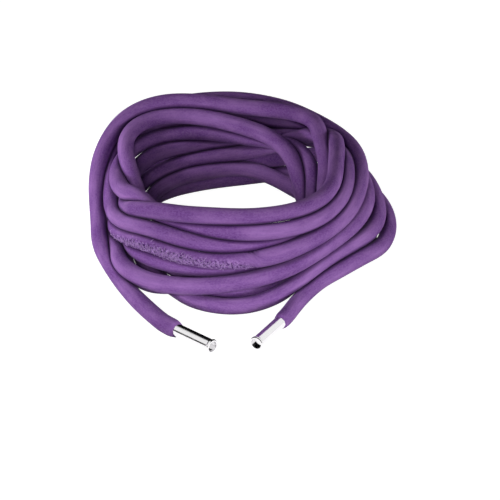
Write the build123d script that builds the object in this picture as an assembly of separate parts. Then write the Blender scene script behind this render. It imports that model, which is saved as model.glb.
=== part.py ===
from build123d import *
import math
import os

# A soft fabric rope with a metal tip on each end, wound by hand into a loose pile of ten turns.
# Millimetres, +Z up. The origin is the middle of the whole object's footprint, on the surface
# that it lies on. Seen from above, the rope runs clockwise from its left tip to its right tip.

# Driving dimensions
ROPE_DIAMETER = 6.5
SLEEVE_WALL = 0.8
CORE_GAP = 0.05
TIP_LENGTH = 19.0
BARREL_DIAMETER = 5.2
LIP_DIAMETER = 5.9
LIP_LENGTH = 1.3
TIP_WALL = 0.45
END_RECESS = 1.6
END_WALL = 0.6
CRIMP_DEPTH = 13.0
COIL_CENTRE = (-1.0, 13.5)

# Worked out from them
ROPE_RADIUS = ROPE_DIAMETER / 2
CORE_RADIUS = ROPE_RADIUS - SLEEVE_WALL - CORE_GAP
BORE_RADIUS = BARREL_DIAMETER / 2 - TIP_WALL
LYING = ROPE_RADIUS  # height of the rope's centre line where it lies on the surface

# How the turns lie. Each row is one turn, and each pair in it is (reach from the coil's centre,
# height of the centre line) at eight places, clockwise from the front: front, front left, left,
# back left, back, back right, right, front right. The first turn starts at its second place,
# where the left end leaves the coil, and the last turn stops at its last, where the right end does.
TURNS = [
    [(70, 3.25), (64.5, 3.25), (61, 13), (69.5, 39.5), (54, 38.5), (49.5, 39.5), (34, 25), (44, 26)],
    [(54.4, 27), (55.3, 28.3), (56, 17), (70, 34.5), (62.5, 39), (57.5, 33), (50, 31), (51.5, 26)],
    [(58.7, 22.8), (56.7, 22.4), (54, 10.5), (54, 14), (50, 19), (50, 34), (39.5, 38), (46.2, 36.8)],
    [(51.5, 38.4), (52, 34.5), (48.5, 20), (57, 23), (52, 22.5), (52, 32), (45, 33), (49.5, 31.3)],
    [(54, 32.2), (50, 31), (52.5, 27.5), (62, 27), (47.5, 27), (37, 30.5), (30, 21), (40, 22)],
    [(49.5, 10.5), (49, 10), (45.5, 27), (64.5, 36.5), (45.5, 33.5), (31.5, 30.5), (28, 17), (40, 17)],
    [(53, 17), (56.5, 14.7), (49.5, 9.5), (68, 26.5), (58, 32.5), (57, 26.5), (54, 20.5), (50, 18)],
    [(60, 13.5), (64.5, 8.5), (56, 6.5), (65, 13.5), (58, 8.2), (61, 20.5), (59.5, 11), (48.5, 11)],
    [(63.5, 3.25), (52.2, 4.5), (43.5, 3.25), (50.5, 10.5), (48, 13), (45, 3.25), (57, 5), (42.5, 3.25)],
    [(54, 5.5), (59.5, 3.25), (50.5, 3.25), (54.5, 3.25), (54.5, 3.25), (66, 8.5), (64, 5), (48.5, 5)],
]
PLACES = 8
FIRST_PLACE = 1
LAST_PLACE = PLACES * len(TURNS) - 1

# The free ends, from inside the coil to the mouth of the tip. The last run is the tip's own line.
LEFT_END = [
    (-51.5, -24.0, LYING),
    (-46.0, -36.5, LYING),
    (-40.0, -47.5, LYING),
    (-34.0, -57.3, LYING),
    (-31.0, -61.4, LYING),
    (-26.6, -65.4, LYING),
]
RIGHT_END = [
    (48.2, -12.2, 6.3),
    (39.0, -20.0, 5.0),
    (30.5, -28.0, 4.1),
    (24.0, -37.5, LYING),
    (19.8, -47.0, LYING),
    (16.5, -55.3, LYING),
    (14.0, -59.6, LYING),
]

# The coil's outer solid
SECTION_STEP = 15  # degrees from one outline to the next
OUTLINE_SIDES = 12


def lay(place):
    """Reach and height of the rope's centre line, a smooth curve through the table's places."""
    flat = [pair for turn in TURNS for pair in turn]
    start = min(int(place), len(flat) - 2)
    t = place - start
    near = [flat[min(max(start + step, 0), len(flat) - 1)] for step in (-1, 0, 1, 2)]
    weights = (
        (-t + 2 * t**2 - t**3) / 2,
        (2 - 5 * t**2 + 3 * t**3) / 2,
        (t + 4 * t**2 - 3 * t**3) / 2,
        (-(t**2) + t**3) / 2,
    )
    reach = sum(weight * pair[0] for weight, pair in zip(weights, near))
    height = sum(weight * pair[1] for weight, pair in zip(weights, near))
    return reach, max(height, LYING)


def strands(azimuth):
    """Where the turns cross the upright plane at this many degrees clockwise from the front."""
    places = [azimuth * PLACES / 360 + PLACES * turn for turn in range(len(TURNS))]
    return [lay(place) for place in places if FIRST_PLACE <= place <= LAST_PLACE]


def outline(azimuth):
    """A many-sided outline drawn tight round the turns' sections, flat where they lie."""
    crossing = strands(azimuth)
    sides = []
    for side in range(OUTLINE_SIDES):
        angle = math.radians(-90 + 360 * side / OUTLINE_SIDES)
        out, up = math.cos(angle), math.sin(angle)
        distance = max(reach * out + height * up for reach, height in crossing) + ROPE_RADIUS
        sides.append((out, up, 0.0 if side == 0 else distance))
    corners = []
    for this, after in zip(sides, sides[1:] + sides[:1]):
        cross = this[0] * after[1] - this[1] * after[0]
        reach = (this[2] * after[1] - after[2] * this[1]) / cross
        height = (after[2] * this[0] - this[2] * after[0]) / cross
        corners.append((reach, 0.0 if abs(height) < 1e-9 else height))
    return corners


def ring_corners(azimuth):
    angle = math.radians(azimuth)
    return [
        (COIL_CENTRE[0] - reach * math.sin(angle), COIL_CENTRE[1] - reach * math.cos(angle), height)
        for reach, height in outline(azimuth)
    ]


def triangle(*corners):
    return Face(Wire.make_polygon(corners, close=True))


def coil():
    """The outer shape of all the turns together, as one plain closed ring of flat facets."""
    rings = [ring_corners(azimuth) for azimuth in range(0, 360, SECTION_STEP)]
    facets = []
    for ring, following in zip(rings, rings[1:] + rings[:1]):
        for side in range(OUTLINE_SIDES):
            after = (side + 1) % OUTLINE_SIDES
            facets.append(triangle(ring[side], ring[after], following[after]))
            facets.append(triangle(ring[side], following[after], following[side]))
    return Solid(Shell(facets))


def bend_radii(points):
    """For each corner, 0.45 of its shorter run over the tangent of half its turn."""
    radii = []
    for before, here, after in zip(points, points[1:], points[2:]):
        arriving = Vector(*here) - Vector(*before)
        leaving = Vector(*after) - Vector(*here)
        half_turn = math.radians(arriving.get_angle(leaving)) / 2
        radii.append(0.45 * min(arriving.length, leaving.length) / math.tan(half_turn))
    return radii


def route(points):
    return FilletPolyline(*points, radius=bend_radii(points))


def rod(path, radius):
    start = Plane(origin=path @ 0, z_dir=path % 0)
    return sweep(start * Circle(radius), path=path)


def free_end(points):
    """The sleeve and the core of one free end, and the plane of its tip's mouth."""
    path = route(points)
    mouth = Plane(origin=path @ 1, z_dir=path % 1)
    sleeve = rod(path, ROPE_RADIUS) - rod(path, ROPE_RADIUS - SLEEVE_WALL)
    crimped = mouth * Cylinder(
        BORE_RADIUS - CORE_GAP,
        CRIMP_DEPTH,
        align=(Align.CENTER, Align.CENTER, Align.MIN),
    )
    core = rod(path, CORE_RADIUS) + crimped
    return sleeve, core, mouth


def metal_tip(mouth):
    """A drawn cap: an open mouth, a plain barrel, a rolled lip and an end wall set back in it."""
    barrel = BARREL_DIAMETER / 2
    lip = LIP_DIAMETER / 2
    roll = LIP_LENGTH / 2
    end_wall = TIP_LENGTH - END_RECESS
    with BuildSketch(Plane.XZ) as profile:
        with BuildLine():
            Polyline(
                (BORE_RADIUS, 0),
                (barrel, 0),
                (barrel, TIP_LENGTH - LIP_LENGTH),
                (lip, TIP_LENGTH - roll),
            )
            Polyline(
                (lip - roll / 2, TIP_LENGTH),
                (BORE_RADIUS, TIP_LENGTH),
                (BORE_RADIUS, end_wall),
                (0, end_wall),
                (0, end_wall - END_WALL),
                (BORE_RADIUS, end_wall - END_WALL),
                (BORE_RADIUS, 0),
            )
            RadiusArc((lip, TIP_LENGTH - roll), (lip - roll / 2, TIP_LENGTH), -roll)
        make_face()
    cap = revolve(profile.sketch, axis=Axis.Z)
    return mouth * cap


def report(name, points, sleeve):
    length = route(points).length
    section_area = math.pi * (ROPE_RADIUS**2 - (ROPE_RADIUS - SLEEVE_WALL) ** 2)
    print(name, "radii", [round(radius, 1) for radius in bend_radii(points)])
    print(name, "length", round(length, 1), "volume share", round(sleeve.volume / section_area / length, 4))


def main():
    os.makedirs("parts", exist_ok=True)
    pieces = {"rope_coil": coil()}
    for name, points in (("left", LEFT_END), ("right", RIGHT_END)):
        sleeve, core, mouth = free_end(points)
        pieces[f"{name}_end_sleeve"] = sleeve
        pieces[f"{name}_end_core"] = core
        pieces[f"{name}_tip"] = metal_tip(mouth)
        report(name, points, sleeve)
    for node, shape in pieces.items():
        export_step(shape, f"parts/{node}.step")
    box = Compound(children=list(pieces.values())).bounding_box()
    print("low", box.min, "high", box.max)


main()
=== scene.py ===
import math

import bpy
import numpy as np
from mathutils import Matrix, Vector


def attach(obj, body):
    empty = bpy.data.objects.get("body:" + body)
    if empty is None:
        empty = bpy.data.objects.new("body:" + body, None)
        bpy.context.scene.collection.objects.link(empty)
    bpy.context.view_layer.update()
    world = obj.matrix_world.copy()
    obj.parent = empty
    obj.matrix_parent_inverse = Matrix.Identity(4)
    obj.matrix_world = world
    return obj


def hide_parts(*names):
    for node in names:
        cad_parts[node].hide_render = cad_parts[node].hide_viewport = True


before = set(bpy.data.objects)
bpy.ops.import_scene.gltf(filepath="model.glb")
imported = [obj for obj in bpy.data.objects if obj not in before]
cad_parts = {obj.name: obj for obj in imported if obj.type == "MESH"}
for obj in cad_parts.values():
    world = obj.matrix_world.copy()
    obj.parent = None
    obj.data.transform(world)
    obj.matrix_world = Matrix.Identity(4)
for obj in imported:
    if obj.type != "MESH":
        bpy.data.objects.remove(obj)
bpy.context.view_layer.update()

# A soft fabric rope with a metal tip on each end, wound by hand into a loose pile of ten turns.
# Metres, +Z up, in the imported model's frame.

# The rope and how it is wound
ROPE_DIAMETER = 0.0065
ROPE_RADIUS = ROPE_DIAMETER / 2
LYING = ROPE_RADIUS  # height of the rope's centre line where it lies on the floor
COIL_CENTRE = (-0.001, 0.0135)

# One row is one turn. Each pair is (reach from the coil's centre, height of the centre line) at
# eight places, clockwise from the front: front, front left, left, back left, back, back right,
# right, front right.
TURNS = [
    [(0.07, LYING), (0.0645, LYING), (0.061, 0.013), (0.0695, 0.0395),
     (0.054, 0.0385), (0.0495, 0.0395), (0.034, 0.025), (0.044, 0.026)],
    [(0.0544, 0.027), (0.0553, 0.0283), (0.056, 0.017), (0.07, 0.0345),
     (0.0625, 0.039), (0.0575, 0.033), (0.05, 0.031), (0.0515, 0.026)],
    [(0.0587, 0.0228), (0.0567, 0.0224), (0.054, 0.0105), (0.054, 0.014),
     (0.05, 0.019), (0.05, 0.034), (0.0395, 0.038), (0.0462, 0.0368)],
    [(0.0515, 0.0384), (0.052, 0.0345), (0.0485, 0.02), (0.057, 0.023),
     (0.052, 0.0225), (0.052, 0.032), (0.045, 0.033), (0.0495, 0.0313)],
    [(0.054, 0.0322), (0.05, 0.031), (0.0525, 0.0275), (0.062, 0.027),
     (0.0475, 0.027), (0.037, 0.0305), (0.03, 0.021), (0.04, 0.022)],
    [(0.0495, 0.0105), (0.049, 0.01), (0.0455, 0.027), (0.0645, 0.0365),
     (0.0455, 0.0335), (0.0315, 0.0305), (0.028, 0.017), (0.04, 0.017)],
    [(0.053, 0.017), (0.0565, 0.0147), (0.0495, 0.0095), (0.068, 0.0265),
     (0.058, 0.0325), (0.057, 0.0265), (0.054, 0.0205), (0.05, 0.018)],
    [(0.06, 0.0135), (0.0645, 0.0085), (0.056, 0.0065), (0.065, 0.0135),
     (0.058, 0.0082), (0.061, 0.0205), (0.0595, 0.011), (0.0485, 0.011)],
    [(0.0635, LYING), (0.0522, 0.0045), (0.0435, LYING), (0.0505, 0.0105),
     (0.048, 0.013), (0.045, LYING), (0.057, 0.005), (0.0425, LYING)],
    [(0.054, 0.0055), (0.0595, LYING), (0.0505, LYING), (0.0545, LYING),
     (0.0545, LYING), (0.066, 0.0085), (0.064, 0.005), (0.0485, 0.005)],
]
PLACES = 8
FIRST_PLACE = 1.5  # where the turns take over from the left end's route
LAST_PLACE = 78.3  # where the right end's route takes over from the turns

# The free ends, each from inside the coil to the mouth of its tip
LEFT_END = [
    (-0.0515, -0.024, LYING),
    (-0.046, -0.0365, LYING),
    (-0.04, -0.0475, LYING),
    (-0.034, -0.0573, LYING),
    (-0.031, -0.0614, LYING),
    (-0.0266, -0.0654, LYING),
]
RIGHT_END = [
    (0.0482, -0.0122, 0.0063),
    (0.039, -0.02, 0.005),
    (0.0305, -0.028, 0.0041),
    (0.024, -0.0375, LYING),
    (0.0198, -0.047, LYING),
    (0.0165, -0.0553, LYING),
    (0.014, -0.0596, LYING),
]

# How the turns settle against each other
SAMPLES_PER_PLACE = 15
CONTROL_EVERY = 3  # one settled point in this many becomes a control point of the spline
CONTACT = 0.97 * ROPE_DIAMETER
OWN_STRETCH = 2.2 * ROPE_DIAMETER  # two points with less rope between them can't touch
SETTLING_ROUNDS = 150
REFRESH_ROUNDS = 10  # rounds between two searches for the points that are near each other
PASSES = 2  # of pushing turns apart, and then of keeping lengths, in one round
PUSH_SHARE = 0.3  # shares of each correction made in one round
LENGTH_SHARE = 0.25
STRAIGHTEN_SHARE = 0.3
HOME_SHARE = 0.02

# The rope's mesh
RING_STEP = 0.0016
SIDES = 40
SOFT_RADIUS = 0.0035  # the sleeve bulges a little where nothing touches it
CLEARANCE = 0.00001  # half the gap between two sleeves that touch
FLOOR_CLEARANCE = 0.00005
EDGE_SHARPNESS = 9000.0  # how abruptly the flats begin; 1 over the length of the rounding
CREVICE_REACH = 1.55  # a wall this many radii away no longer adds painted shade to the sleeve

# The seam that closes the sleeve, and the stretch of it where the stitches have worked loose
SEAM_HIDDEN = (0.0, 1.0, -0.3)  # it faces away from the front here
SEAM_SHOWN = (-0.1, -1.0, 0.05)  # and towards the front here
LOOSE_PLACES = (15.5, 17.3)  # places counted along the table of turns
TURNING_LENGTH = 0.045  # of rope, over which the seam turns from one to the other
SEAM_DEPTH = 0.00022
SEAM_WIDTH = 0.15  # radians of the rope's section on each side of the seam
FUZZ_WIDTH = 0.6  # the same, for the loose stretch
FUZZ_HEIGHT = 0.00022
STITCH_LENGTH = 0.0021
STITCH_REACH = 0.2  # radians on each side of the seam
THREAD_RADIUS = 0.00011
THREAD_MARGIN = 0.002  # the thread starts and stops this far from the rope's ends
TUFTS = 420

# The surroundings
AMBIENT = 0.025  # strength of the sky as a light
PALE = 0.95  # strength of the sky where it is looked at
DARK_BACK = (-0.51, 0.86, 0.0)  # the mirrored sky is dark around this direction
DARK_EDGE = (0.3, 0.0, 0.95)  # and on the far side of a plane square to this one


# ---------------------------------------------------------------- the rope's line


def lay(place):
    """Centre-line point at a place in TURNS, on a smooth curve through the table's pairs."""
    flat = [pair for turn in TURNS for pair in turn]
    start = min(int(place), len(flat) - 2)
    t = place - start
    near = [flat[min(max(start + step, 0), len(flat) - 1)] for step in (-1, 0, 1, 2)]
    weights = (
        (-t + 2 * t**2 - t**3) / 2,
        (2 - 5 * t**2 + 3 * t**3) / 2,
        (t + 4 * t**2 - 3 * t**3) / 2,
        (-(t**2) + t**3) / 2,
    )
    reach = sum(weight * pair[0] for weight, pair in zip(weights, near))
    height = sum(weight * pair[1] for weight, pair in zip(weights, near))
    azimuth = 2 * math.pi * place / PLACES
    return (
        COIL_CENTRE[0] - reach * math.sin(azimuth),
        COIL_CENTRE[1] - reach * math.cos(azimuth),
        max(height, LYING),
    )


def push_apart(points, first, second):
    """Moves each pair of points that is closer than CONTACT a share of the way apart."""
    apart = points[first] - points[second]
    gap = np.linalg.norm(apart, axis=1) + 1e-9
    close = gap < CONTACT
    push = apart[close] / gap[close, None] * (PUSH_SHARE * (CONTACT - gap[close]))[:, None]
    moved = np.zeros_like(points)
    count = np.zeros(len(points))
    np.add.at(moved, first[close], push)
    np.add.at(moved, second[close], -push)
    np.add.at(count, first[close], 1)
    np.add.at(count, second[close], 1)
    points += moved / np.sqrt(np.maximum(count, 1))[:, None]


def keep_lengths(points, rest):
    """Pulls each stretch of rope part of the way back to its own length."""
    step = points[1:] - points[:-1]
    length = np.linalg.norm(step, axis=1)
    share = LENGTH_SHARE * ((length - rest) / length)[:, None] * step
    points[:-1] += share
    points[1:] -= share


def settle(points, held):
    """Lets the turns come to rest beside and on each other, a diameter apart, on the floor."""
    home = points.copy()
    rest = np.linalg.norm(np.diff(points, axis=0), axis=1)
    along = np.concatenate(([0.0], np.cumsum(rest)))
    first, second = np.triu_indices(len(points), k=1)
    apart = along[second] - along[first] > OWN_STRETCH
    first, second = first[apart], second[apart]
    search = 1.8 * CONTACT
    for step in range(SETTLING_ROUNDS):
        if step % REFRESH_ROUNDS == 0:
            near = ((points[first] - points[second]) ** 2).sum(1) < search**2
            here, there = first[near], second[near]
        for _ in range(PASSES):
            push_apart(points, here, there)
            points[:, 2] = np.maximum(points[:, 2], LYING)
        for _ in range(PASSES):
            keep_lengths(points, rest)
        straight = (points[:-2] + points[2:]) / 2
        points[1:-1] += STRAIGHTEN_SHARE * (straight - points[1:-1])
        points += HOME_SHARE * (home - points)
        points[:, 2] = np.maximum(points[:, 2], LYING)
        points[held] = home[held]
    return points


def rope_route():
    """Control points of the whole rope, from the left tip's mouth to the right tip's."""
    count = round((LAST_PLACE - FIRST_PLACE) * SAMPLES_PER_PLACE) + 1
    turns = [lay(place) for place in np.linspace(FIRST_PLACE, LAST_PLACE, count)]
    points = np.array(LEFT_END[::-1] + turns + RIGHT_END)
    start = len(LEFT_END)
    stop = start + count
    fixed = 2  # points at each end of the turns that stay where they are, as the free ends do
    held = np.ones(len(points), bool)
    held[start + fixed:stop - fixed] = False
    points = settle(points, held)
    return np.concatenate([points[:start], points[start:stop:CONTROL_EVERY], points[stop:]])


def spline_points(route):
    """Points along the route's NURBS spline, evenly spaced by RING_STEP."""
    data = bpy.data.curves.new("rope_route", "CURVE")
    data.dimensions = "3D"
    data.resolution_u = 8
    spline = data.splines.new("NURBS")
    spline.points.add(len(route) - 1)
    for point, place in zip(spline.points, route):
        point.co = (*place, 1.0)
    spline.order_u = 3
    spline.use_endpoint_u = True
    curve = bpy.data.objects.new("rope_route", data)
    bpy.context.scene.collection.objects.link(curve)
    bpy.context.view_layer.update()
    line = bpy.data.meshes.new_from_object(curve)
    raw = np.array([vertex.co for vertex in line.vertices], float)
    bpy.data.objects.remove(curve)
    along = np.concatenate(([0.0], np.cumsum(np.linalg.norm(np.diff(raw, axis=0), axis=1))))
    even = np.linspace(0, along[-1], round(along[-1] / RING_STEP) + 1)
    return np.stack([np.interp(even, along, raw[:, axis]) for axis in range(3)], 1), even


# ---------------------------------------------------------------- the rope's mesh


def unit(vectors):
    return vectors / np.linalg.norm(vectors, axis=-1, keepdims=True)


def distance_to(place):
    """Length of rope between the left tip and a place in TURNS."""
    count = round((place - FIRST_PLACE) * SAMPLES_PER_PLACE) + 1
    line = LEFT_END[::-1] + [lay(step) for step in np.linspace(FIRST_PLACE, place, count)]
    return np.linalg.norm(np.diff(np.array(line), axis=0), axis=1).sum()


def looseness(along):
    """1 where the seam's stitches have worked loose, falling to 0 on each side."""
    start, stop = (distance_to(place) for place in LOOSE_PLACES)
    rise = np.clip((along - start) / TURNING_LENGTH + 0.5, 0, 1)
    fall = np.clip((stop - along) / TURNING_LENGTH + 0.5, 0, 1)
    share = np.minimum(rise, fall)
    return share * share * (3 - 2 * share)


def frames_along(centres, loose):
    """Direction of the line at each centre, the way its seam faces, and the third direction."""
    forward = unit(np.gradient(centres, axis=0))
    towards = (1 - loose)[:, None] * SEAM_HIDDEN + loose[:, None] * SEAM_SHOWN
    seam = unit(towards - forward * np.einsum("ij,ij->i", forward, towards)[:, None])
    return forward, seam, np.cross(forward, seam)


def from_seam(angle):
    """Radians between a direction in the rope's section and its seam."""
    return np.abs((angle + math.pi) % (2 * math.pi) - math.pi)


def waves(along, lengths, seed):
    """A smooth uneven curve from -1 to 1, made of sines with these wave lengths."""
    shifts = np.random.default_rng(seed).uniform(0, 2 * math.pi, len(lengths))
    total = sum(
        np.sin(2 * math.pi * along / length + shift) for length, shift in zip(lengths, shifts)
    )
    return total / len(lengths)


def loose_share(angle, loose):
    """How much each point of each ring belongs to the loose stretch of the seam."""
    return loose[:, None] * np.exp(-((from_seam(angle) / FUZZ_WIDTH) ** 4))


def free_radius(along, angle, loose):
    """The sleeve's radius where nothing presses on it, ring by ring and side by side."""
    swelling, flattening, most_lean = 0.022, 0.03, 2.2
    gathers, gather_depth, gather_length = 9, 0.03, 0.0022
    drawn_in = (0, 0.0005, 0.0015, 0.004), (0.84, 0.97, 1.0, 1.0)  # from the tip, and how wide
    swell = 1 + swelling * waves(along, (0.037, 0.061, 0.023), 1)
    oval = flattening * (1 + waves(along, (0.09, 0.14), 2))
    lean = most_lean * waves(along, (0.21, 0.33), 3)
    section = 1 + oval[:, None] * np.cos(2 * (angle - lean[:, None]))
    radius = SOFT_RADIUS * swell[:, None] * section
    to_tip = np.minimum(along, along[-1] - along)
    narrow = np.interp(to_tip, *drawn_in)
    gathered = gather_depth * np.exp(-to_tip / gather_length)[:, None] * np.cos(gathers * angle)
    groove = SEAM_DEPTH * np.exp(-((from_seam(angle) / SEAM_WIDTH) ** 2))
    rough = np.random.default_rng(4).uniform(-1, 1, radius.shape)
    fuzz = FUZZ_HEIGHT * rough * loose_share(angle, loose)
    return radius * narrow[:, None] * (1 + gathered) - groove + fuzz


def neighbours(centres, along):
    """Pairs of centres that are near each other but on different stretches of the rope."""
    reach = 2 * CREVICE_REACH * SOFT_RADIUS
    pairs = []
    for index, centre in enumerate(centres):
        near = ((centres - centre) ** 2).sum(1) < reach**2
        other = np.abs(along - along[index]) > OWN_STRETCH
        pairs.extend((index, there) for there in np.nonzero(near & other)[0])
    return np.array(pairs)


def pressed_radius(centres, along, outward, radius):
    """The radius with the sleeve flattened where a neighbouring turn or the floor presses on it.

    Also returns how deep in the crevices each point is, 1 where it touches and 0 well away; the
    fabric paints shade there.
    """
    limit = np.full(radius.shape, np.inf)
    facing_least = 0.25  # the cosine below which a wall is too oblique to matter
    farthest = 3 * SOFT_RADIUS  # stands for no wall at all
    blur = (0.25, 0.5, 0.25)  # shares of a ring and the two beside it
    near = neighbours(centres, along)
    towards = centres[near[:, 1]] - centres[near[:, 0]]
    gap = np.linalg.norm(towards, axis=1)
    facing = np.einsum("psk,pk->ps", outward[near[:, 0]], towards / gap[:, None])
    distance = (gap / 2 - CLEARANCE)[:, None] / np.maximum(facing, facing_least)
    np.minimum.at(limit, near[:, 0], np.where(facing > facing_least, distance, np.inf))
    down = -outward[:, :, 2]
    distance = (centres[:, 2, None] - FLOOR_CLEARANCE) / np.maximum(down, facing_least)
    limit = np.minimum(limit, np.where(down > facing_least, distance, np.inf))
    limit = np.minimum(limit, farthest)
    crevice_shade = np.clip((CREVICE_REACH - limit / radius) / (CREVICE_REACH - 1), 0, 1)
    soft = -np.logaddexp(-EDGE_SHARPNESS * radius, -EDGE_SHARPNESS * limit) / EDGE_SHARPNESS
    spread = np.stack([soft[:-2], soft[1:-1], soft[2:]])
    soft[1:-1] = np.einsum("r,rij->ij", blur, spread)
    return soft, crevice_shade


def mesh_object(name, points, faces, smooth=True):
    mesh = bpy.data.meshes.new(name)
    mesh.from_pydata([tuple(point) for point in points], [], [tuple(face) for face in faces])
    mesh.polygons.foreach_set("use_smooth", [smooth] * len(mesh.polygons))
    mesh.update()
    piece = bpy.data.objects.new(name, mesh)
    bpy.context.scene.collection.objects.link(piece)
    return piece


def tube_faces(rings, sides):
    """Quads of a tube of so many rings, and a cap on each end."""
    ring = np.arange(rings - 1)[:, None] * sides
    side = np.arange(sides)
    after = (side + 1) % sides
    quads = np.stack([ring + side, ring + after, ring + sides + after, ring + sides + side], -1)
    faces = [tuple(quad) for quad in quads.reshape(-1, 4).tolist()]
    faces.append(tuple(range(sides - 1, -1, -1)))
    faces.append(tuple(range((rings - 1) * sides, rings * sides)))
    return faces


def add_attribute(piece, name, kind, values):
    attribute = piece.data.attributes.new(name, kind, "POINT")
    field = "vector" if kind == "FLOAT_VECTOR" else "value"
    attribute.data.foreach_set(field, values.astype(np.float32).ravel())


def rope_mesh(centres, along):
    """The rope as one closed tube, with each point's place on the straightened rope."""
    loose = looseness(along)
    forward, seam, side = frames_along(centres, loose)
    angle = np.linspace(0, 2 * math.pi, SIDES, endpoint=False)[None, :]
    outward = seam[:, None] * np.cos(angle)[..., None] + side[:, None] * np.sin(angle)[..., None]
    radius, crevice_shade = pressed_radius(centres, along, outward, free_radius(along, angle, loose))
    rings = centres[:, None] + outward * radius[..., None]
    rope = mesh_object("fabric_rope", rings.reshape(-1, 3), tube_faces(len(centres), SIDES))
    place = (ROPE_RADIUS * np.cos(angle), ROPE_RADIUS * np.sin(angle), along[:, None])
    straight = np.stack(np.broadcast_arrays(*place), -1)
    add_attribute(rope, "straight_rope", "FLOAT_VECTOR", straight)
    # how deep in the crevices each point lies, which the fabric paints as shade
    add_attribute(rope, "crevice_shade", "FLOAT", crevice_shade)
    add_attribute(rope, "loose_seam", "FLOAT", loose_share(angle, loose))
    return rope, rings


# ---------------------------------------------------------------- the seam's thread


def on_surface(rings, centres, distance, angle, lift):
    """Points on the sleeve at these distances along it and angles from its seam."""
    last_row = len(rings) - 1.001  # just short of the last ring, so that one always follows
    row = np.clip(distance / RING_STEP, 0, last_row)
    column = (angle / (2 * math.pi) * SIDES) % SIDES
    first, left = np.floor(row).astype(int), np.floor(column).astype(int)
    down, across = (row - first)[:, None], (column - left)[:, None]
    right = (left + 1) % SIDES
    near = rings[first, left] * (1 - across) + rings[first, right] * across
    far = rings[first + 1, left] * (1 - across) + rings[first + 1, right] * across
    point = near * (1 - down) + far * down
    centre = centres[first] * (1 - down) + centres[first + 1] * down
    outward = unit(point - centre)
    return point + outward * lift[:, None]


def strand_rings(line, radii, sides):
    """Rings of a thin thread that follows a line of points."""
    oblique = (0.31, 0.87, 0.38)  # any direction that the thread doesn't follow
    forward = unit(np.gradient(line, axis=0))
    across = unit(np.cross(forward, oblique))
    third = np.cross(forward, across)
    angle = np.linspace(0, 2 * math.pi, sides, endpoint=False)[None, :, None]
    outward = across[:, None] * np.cos(angle) + third[:, None] * np.sin(angle)
    return line[:, None] + radii[:, None, None] * outward


def stitches(rings, centres, total):
    """One zigzag thread over the seam, from one tip to the other."""
    sides = 4
    quarter = STITCH_LENGTH / 4
    count = round((total - 2 * THREAD_MARGIN) / quarter)
    step = np.arange(count)
    distance = THREAD_MARGIN + step * quarter
    sideways = np.array([0.0, 1.0, 0.0, -1.0])
    upwards = np.array([1.2, -0.2, 1.2, -0.2])  # over the seam, then into the sleeve beside it
    angle = STITCH_REACH * sideways[step % 4]
    lift = THREAD_RADIUS * upwards[step % 4]
    line = on_surface(rings, centres, distance, angle, lift)
    points = strand_rings(line, np.full(count, THREAD_RADIUS), sides)
    return points.reshape(-1, 3), tube_faces(count, sides)


def tufts(rings, centres, first_point):
    """Short loops of thread that stand out where the seam's stitches have worked loose."""
    sides, steps = 3, 5
    rng = np.random.default_rng(8)
    start, stop = (distance_to(place) for place in LOOSE_PLACES)
    densest = start + 0.35 * (stop - start)
    sunk = 0.00005  # both feet of a loop are this deep in the sleeve
    span, turned = 0.0007, 0.2  # between its feet, along the rope and in radians round it
    lowest, highest = 0.0001, 0.0005
    thin, thick = 0.0001, 0.00021
    taper = np.array([1.0, 1.0, 1.1, 0.9, 0.6])
    along_loop = np.linspace(0, 1, steps)
    points, faces = [], []
    for _ in range(TUFTS):
        foot = np.array(
            [rng.triangular(start, densest, stop), rng.normal(0, 0.5 * FUZZ_WIDTH)]
        )
        reach = np.array([rng.normal(0, span), rng.normal(0, turned)])
        height = rng.uniform(lowest, highest)
        path = foot + along_loop[:, None] * reach
        lift = height * np.sin(math.pi * along_loop) - sunk
        line = on_surface(rings, centres, path[:, 0], path[:, 1], lift)
        radii = rng.uniform(thin, thick) * taper
        base = first_point + len(points)
        points.extend(strand_rings(line, radii, sides).reshape(-1, 3))
        faces.extend(tuple(base + corner for corner in face) for face in tube_faces(steps, sides))
    return points, faces


def seam_thread(rings, centres, total):
    """The whole thread as one piece: its stitches, and the tufts where they are loose."""
    points, faces = stitches(rings, centres, total)
    more_points, more_faces = tufts(rings, centres, len(points))
    above_floor = 0.00003  # nothing reaches below this height
    points = np.array([*points, *more_points])
    points[:, 2] = np.maximum(points[:, 2], above_floor)
    return mesh_object("seam_thread", points, [*faces, *more_faces])


# ---------------------------------------------------------------- materials


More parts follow.
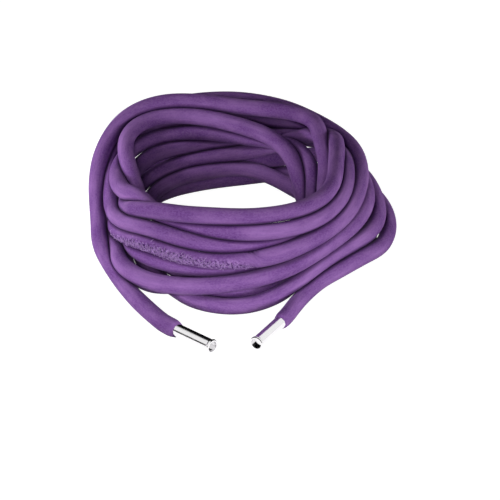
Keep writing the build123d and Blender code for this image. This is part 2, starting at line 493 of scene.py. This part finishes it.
class Nodes:
    """A short way to write a material's node tree."""

    def __init__(self, name):
        self.material = bpy.data.materials.new(name)
        self.material.use_nodes = True
        self.tree = self.material.node_tree
        self.shader = self.tree.nodes["Principled BSDF"]

    def add(self, kind, inputs=(), **settings):
        node = self.tree.nodes.new(kind)
        for key, value in settings.items():
            setattr(node, key, value)
        for socket, value in dict(inputs).items():
            if isinstance(value, bpy.types.NodeSocket):
                self.tree.links.new(value, node.inputs[socket])
            else:
                node.inputs[socket].default_value = value
        return node

    def noise(self, where, scale, detail=3.0, roughness=0.55):
        inputs = {"Vector": where, "Scale": scale, "Detail": detail, "Roughness": roughness}
        return self.add("ShaderNodeTexNoise", inputs).outputs["Fac"]

    def scaled(self, where, factors):
        return self.add("ShaderNodeMapping", {"Vector": where, "Scale": factors}).outputs["Vector"]

    def mix(self, share, first, second):
        factor, colour_a, colour_b, colour_result = 0, 6, 7, 2  # the node's sockets
        inputs = {factor: share, colour_a: first, colour_b: second}
        return self.add("ShaderNodeMix", inputs, data_type="RGBA").outputs[colour_result]

    def ramp(self, value, low, high, start=0.0, end=1.0):
        inputs = {
            "Value": value,
            "From Min": low,
            "From Max": high,
            "To Min": start,
            "To Max": end,
        }
        return self.add("ShaderNodeMapRange", inputs).outputs["Result"]

    def math(self, operation, first, second=0.0):
        return self.add("ShaderNodeMath", {0: first, 1: second}, operation=operation).outputs[0]

    def bump(self, height, depth, strength=1.0):
        inputs = {"Height": height, "Distance": depth, "Strength": strength}
        return self.add("ShaderNodeBump", inputs).outputs["Normal"]

    def link(self, socket, value):
        self.tree.links.new(value, self.shader.inputs[socket])

    def set(self, **values):
        for socket, value in values.items():
            self.shader.inputs[socket.replace("_", " ")].default_value = value


class WorldNodes(Nodes):
    """The same for the world's node tree."""

    def __init__(self, world):
        self.tree = world.node_tree
        self.shader = self.tree.nodes["Background"]


def sleeve_fabric():
    """Brushed purple knit: fine ribs, a short nap, faded patches, and painted shade in the folds.
    """
    nodes = Nodes("brushed_purple_knit")
    place = nodes.add("ShaderNodeAttribute", attribute_name="straight_rope").outputs["Vector"]
    parts = nodes.add("ShaderNodeSeparateXYZ", {"Vector": place})
    turn = nodes.math("ARCTAN2", parts.outputs["Y"], parts.outputs["X"])
    ribs_round, course_length = 30.0, 0.00075
    ribs = nodes.math("SINE", nodes.math("MULTIPLY", turn, ribs_round))
    lengthwise = nodes.math("MULTIPLY", parts.outputs["Z"], 2 * math.pi / course_length)
    courses = nodes.math("SINE", lengthwise)
    knit = nodes.math("MULTIPLY", ribs, courses)
    grain = nodes.noise(nodes.scaled(place, (1.0, 1.0, 0.55)), 1900.0, 4.0, 0.65)
    patches = nodes.noise(nodes.scaled(place, (1.0, 1.0, 0.35)), 160.0, 3.0)
    streaks = nodes.noise(nodes.scaled(place, (1.0, 1.0, 0.06)), 520.0, 2.0)
    deep, faded = (0.138, 0.046, 0.232, 1), (0.320, 0.152, 0.445, 1)
    streak, nap = (0.105, 0.030, 0.190, 1), (0.350, 0.185, 0.470, 1)
    # pale fluff is the loose fibres' own colour; the second colour is painted shade in the holes
    # where the seam gapes
    pale_fluff, painted_hole_shade = (0.46, 0.29, 0.60, 1), (0.030, 0.008, 0.065, 1)
    # painted shade: near-black purple for the crevices where turns press on each other and on the
    # floor
    painted_fold_shade, fold_shade_strength = (0.030, 0.007, 0.055, 1), 0.92
    colour = nodes.mix(nodes.ramp(patches, 0.33, 0.67), deep, faded)
    colour = nodes.mix(nodes.ramp(streaks, 0.35, 0.7, 0.0, 0.45), colour, streak)
    colour = nodes.mix(nodes.ramp(grain, 0.35, 0.72, 0.0, 0.5), colour, nap)
    loose = nodes.add("ShaderNodeAttribute", attribute_name="loose_seam").outputs["Fac"]
    fluff = nodes.noise(place, 950.0, 3.0, 0.7)
    light = nodes.math("MULTIPLY", loose, nodes.ramp(fluff, 0.53, 0.62))
    # the darker specks of the loose stretch are painted shade in its holes
    dark = nodes.math("MULTIPLY", loose, nodes.ramp(fluff, 0.50, 0.42))
    colour = nodes.mix(light, colour, pale_fluff)
    colour = nodes.mix(dark, colour, painted_hole_shade)
    # painted shade in the crevices between turns and against the floor
    crevice_shade = nodes.add("ShaderNodeAttribute", attribute_name="crevice_shade").outputs["Fac"]
    colour = nodes.mix(nodes.math("MULTIPLY", crevice_shade, fold_shade_strength), colour, painted_fold_shade)
    nodes.link("Base Color", colour)
    height = nodes.math("ADD", grain, nodes.math("MULTIPLY", knit, 0.12))
    nodes.link("Normal", nodes.bump(height, 0.00022, 0.8))
    nodes.link("Roughness", nodes.ramp(grain, 0.3, 0.7, 0.82, 0.97))
    nodes.set(
        Specular_IOR_Level=0.08,
        Sheen_Weight=0.06,
        Sheen_Roughness=0.45,
        Sheen_Tint=(0.78, 0.62, 0.9, 1),
    )
    return nodes.material


def thread_fabric():
    """Slightly shiny spun thread, paler than the sleeve."""
    nodes = Nodes("lilac_thread")
    place = nodes.add("ShaderNodeTexCoord").outputs["Object"]
    twist = nodes.noise(place, 2600.0, 3.0)
    shaded, lit = (0.18, 0.07, 0.30, 1), (0.52, 0.32, 0.66, 1)
    nodes.link("Base Color", nodes.mix(twist, shaded, lit))
    nodes.link("Normal", nodes.bump(twist, 0.00006, 0.6))
    nodes.set(Roughness=0.7, Specular_IOR_Level=0.3, Sheen_Weight=0.2)
    return nodes.material


def core_cotton():
    """Loose off-white filler cotton."""
    nodes = Nodes("filler_cotton")
    place = nodes.add("ShaderNodeTexCoord").outputs["Object"]
    fibres = nodes.noise(nodes.scaled(place, (1.0, 1.0, 0.3)), 900.0, 4.0)
    shaded, lit = (0.62, 0.57, 0.48, 1), (0.86, 0.84, 0.78, 1)
    nodes.link("Base Color", nodes.mix(fibres, shaded, lit))
    nodes.link("Normal", nodes.bump(fibres, 0.0003))
    nodes.set(Roughness=0.9)
    return nodes.material


def tip_metal():
    """Polished nickel plate with faint drawing marks and handling wear."""
    nodes = Nodes("polished_nickel")
    place = nodes.add("ShaderNodeTexCoord").outputs["Object"]
    marks = nodes.noise(place, 1400.0, 3.0)
    wear = nodes.noise(place, 260.0, 4.0)
    worn, bright = (0.80, 0.79, 0.81, 1), (0.90, 0.89, 0.90, 1)
    nodes.link("Base Color", nodes.mix(wear, worn, bright))
    nodes.link("Roughness", nodes.ramp(nodes.math("MULTIPLY", marks, wear), 0.1, 0.45, 0.08, 0.24))
    nodes.link("Normal", nodes.bump(wear, 0.00002, 0.2))
    nodes.set(Metallic=1.0)
    return nodes.material


def floor_surface():
    """Smooth pale paper, lit from behind so that no shadow shows on it."""
    nodes = Nodes("pale_paper")
    place = nodes.add("ShaderNodeTexCoord").outputs["Object"]
    grain = nodes.noise(place, 300.0, 3.0)
    grey, paler_grey = (0.36, 0.36, 0.36, 1), (0.38, 0.38, 0.38, 1)
    nodes.link("Base Color", nodes.mix(grain, grey, paler_grey))
    nodes.set(Roughness=0.9, Specular_IOR_Level=0.1)
    nodes.set(Emission_Color=(1, 1, 1, 1), Emission_Strength=0.97)
    return nodes.material


# ---------------------------------------------------------------- floor, light and camera


def floor():
    size = 3.0
    corners = [(-size, -size, 0), (size, -size, 0), (size, size, 0), (-size, size, 0)]
    piece = mesh_object("floor", corners, [(0, 1, 2, 3)], smooth=False)
    piece.data.materials.append(floor_surface())
    piece.visible_diffuse = False


def add_light(data, place, towards):
    """Puts a lamp in the scene that neither the camera nor the metal can see."""
    light = bpy.data.objects.new(data.name, data)
    light.visible_camera = False
    light.visible_glossy = False
    light.location = place
    light.rotation_euler = (Vector(towards) - Vector(place)).to_track_quat("-Z", "Y").to_euler()
    bpy.context.scene.collection.objects.link(light)


def area_light(name, place, towards, size, power):
    data = bpy.data.lights.new(name, "AREA")
    data.shape = "DISK"
    data.size = size
    data.energy = power
    add_light(data, place, towards)


def spot_light(name, place, towards, cone, radius, power):
    """A soft-edged spot light; the cone is in degrees."""
    data = bpy.data.lights.new(name, "SPOT")
    data.spot_size = math.radians(cone)
    data.spot_blend = 1.0
    data.shadow_soft_size = radius
    data.energy = power
    add_light(data, place, towards)


def sky():
    """Dim for the rope and pale to look at; the metal mirrors it white, with two dark sides."""
    world = bpy.data.worlds.new("studio")
    world.use_nodes = True
    nodes = WorldNodes(world)
    where = nodes.add("ShaderNodeTexCoord").outputs["Generated"]
    rays = nodes.add("ShaderNodeLightPath").outputs

    def towards(direction, dark, pale):
        """0 where the cosine to this direction is the first number, 1 where it is the second."""
        inputs = {0: where, 1: direction}
        dot = nodes.add("ShaderNodeVectorMath", inputs, operation="DOT_PRODUCT").outputs["Value"]
        return nodes.ramp(dot, dark, pale)

    darkest = 0.02
    white = nodes.math("MULTIPLY", towards(DARK_BACK, 0.66, 0.56), towards(DARK_EDGE, 0.0, 0.08))
    mirrored = nodes.ramp(white, 0.0, 1.0, darkest, 1.0)
    light = nodes.ramp(rays["Is Glossy Ray"], 0.0, 1.0, AMBIENT, mirrored)
    strength = nodes.ramp(rays["Is Camera Ray"], 0.0, 1.0, light, PALE)
    nodes.link("Strength", strength)
    nodes.set(Color=(1, 1, 1, 1))
    bpy.context.scene.world = world


def black_flag():
    """A black card behind the left tip that only the metal mirrors, as a dark upper side."""
    gap, overlap, length, height = 0.006, 0.01, 0.06, 0.04
    mouth, bend = Vector(LEFT_END[-1]), Vector(LEFT_END[-2])
    forward = (mouth - bend).normalized()
    behind = Vector((-forward.y, forward.x, 0)) * gap
    start = mouth + behind - overlap * forward
    end = mouth + behind + length * forward
    top = Vector((0, 0, height))
    corners = [start, end, end + top, start + top]
    piece = mesh_object("black_flag", corners, [(0, 1, 2, 3)], smooth=False)
    nodes = Nodes("black_card")
    grain = nodes.noise(nodes.add("ShaderNodeTexCoord").outputs["Object"], 300.0)
    black, nearly_black = (0.004, 0.004, 0.005, 1), (0.008, 0.008, 0.009, 1)
    nodes.link("Base Color", nodes.mix(grain, black, nearly_black))
    nodes.set(Roughness=0.9, Specular_IOR_Level=0.0)
    piece.data.materials.append(nodes.material)
    piece.visible_camera = False
    piece.visible_diffuse = False
    piece.visible_shadow = False


def studio():
    middle = (0.0, -0.01, 0.015)
    far_side = (0.0, 0.03, 0.02)
    spot_light("key", (-0.05, -0.42, 0.21), (0.0, -0.09, 0.0), 38, 0.05, 3.6)
    spot_light("left_side", (-0.36, -0.20, 0.085), (-0.085, -0.03, 0.01), 34, 0.05, 4.6)
    spot_light("right_side", (0.33, -0.30, 0.07), (0.055, -0.055, 0.0), 36, 0.05, 5.2)
    spot_light("left_top", (-0.34, -0.06, 0.34), (-0.085, 0.045, 0.03), 22, 0.04, 3.6)
    area_light("back_left", (-0.42, 0.36, 0.06), far_side, 0.2, 0.9)
    area_light("back_right", (0.42, 0.36, 0.06), far_side, 0.2, 0.9)
    area_light("top", (-0.05, 0.0, 0.80), middle, 0.4, 0.12)
    sky()
    black_flag()
    bpy.context.scene.view_settings.view_transform = "Standard"


def camera():
    """Looks down on the coil from the front, where both free ends point."""
    aim = Vector((0.0024, 0.0065, 0.0))
    elevation = math.radians(28.6)
    heading = math.radians(0.24)
    distance = 0.9114
    back = Vector(
        (
            -math.sin(heading) * math.cos(elevation),
            -math.cos(heading) * math.cos(elevation),
            math.sin(elevation),
        )
    )
    data = bpy.data.cameras.new("camera")
    data.sensor_width = 36.0
    data.lens = 154.3
    piece = bpy.data.objects.new("camera", data)
    piece.location = aim + back * distance
    piece.rotation_euler = (-back).to_track_quat("-Z", "Y").to_euler()
    bpy.context.scene.collection.objects.link(piece)
    bpy.context.scene.camera = piece


# ---------------------------------------------------------------- putting it together


def dress(node, material):
    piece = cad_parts[node]
    piece.data.materials.clear()
    piece.data.materials.append(material)


camera()
centres, along = spline_points(rope_route())
rope, rings = rope_mesh(centres, along)
rope.data.materials.append(sleeve_fabric())
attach(rope, "root")
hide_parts("rope_coil", "left_end_sleeve", "right_end_sleeve")
thread = seam_thread(rings, centres, along[-1])
thread.data.materials.append(thread_fabric())
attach(thread, "root")

metal = tip_metal()
cotton = core_cotton()
for end in ("left", "right"):
    dress(f"{end}_tip", metal)
    dress(f"{end}_end_core", cotton)

floor()
studio()
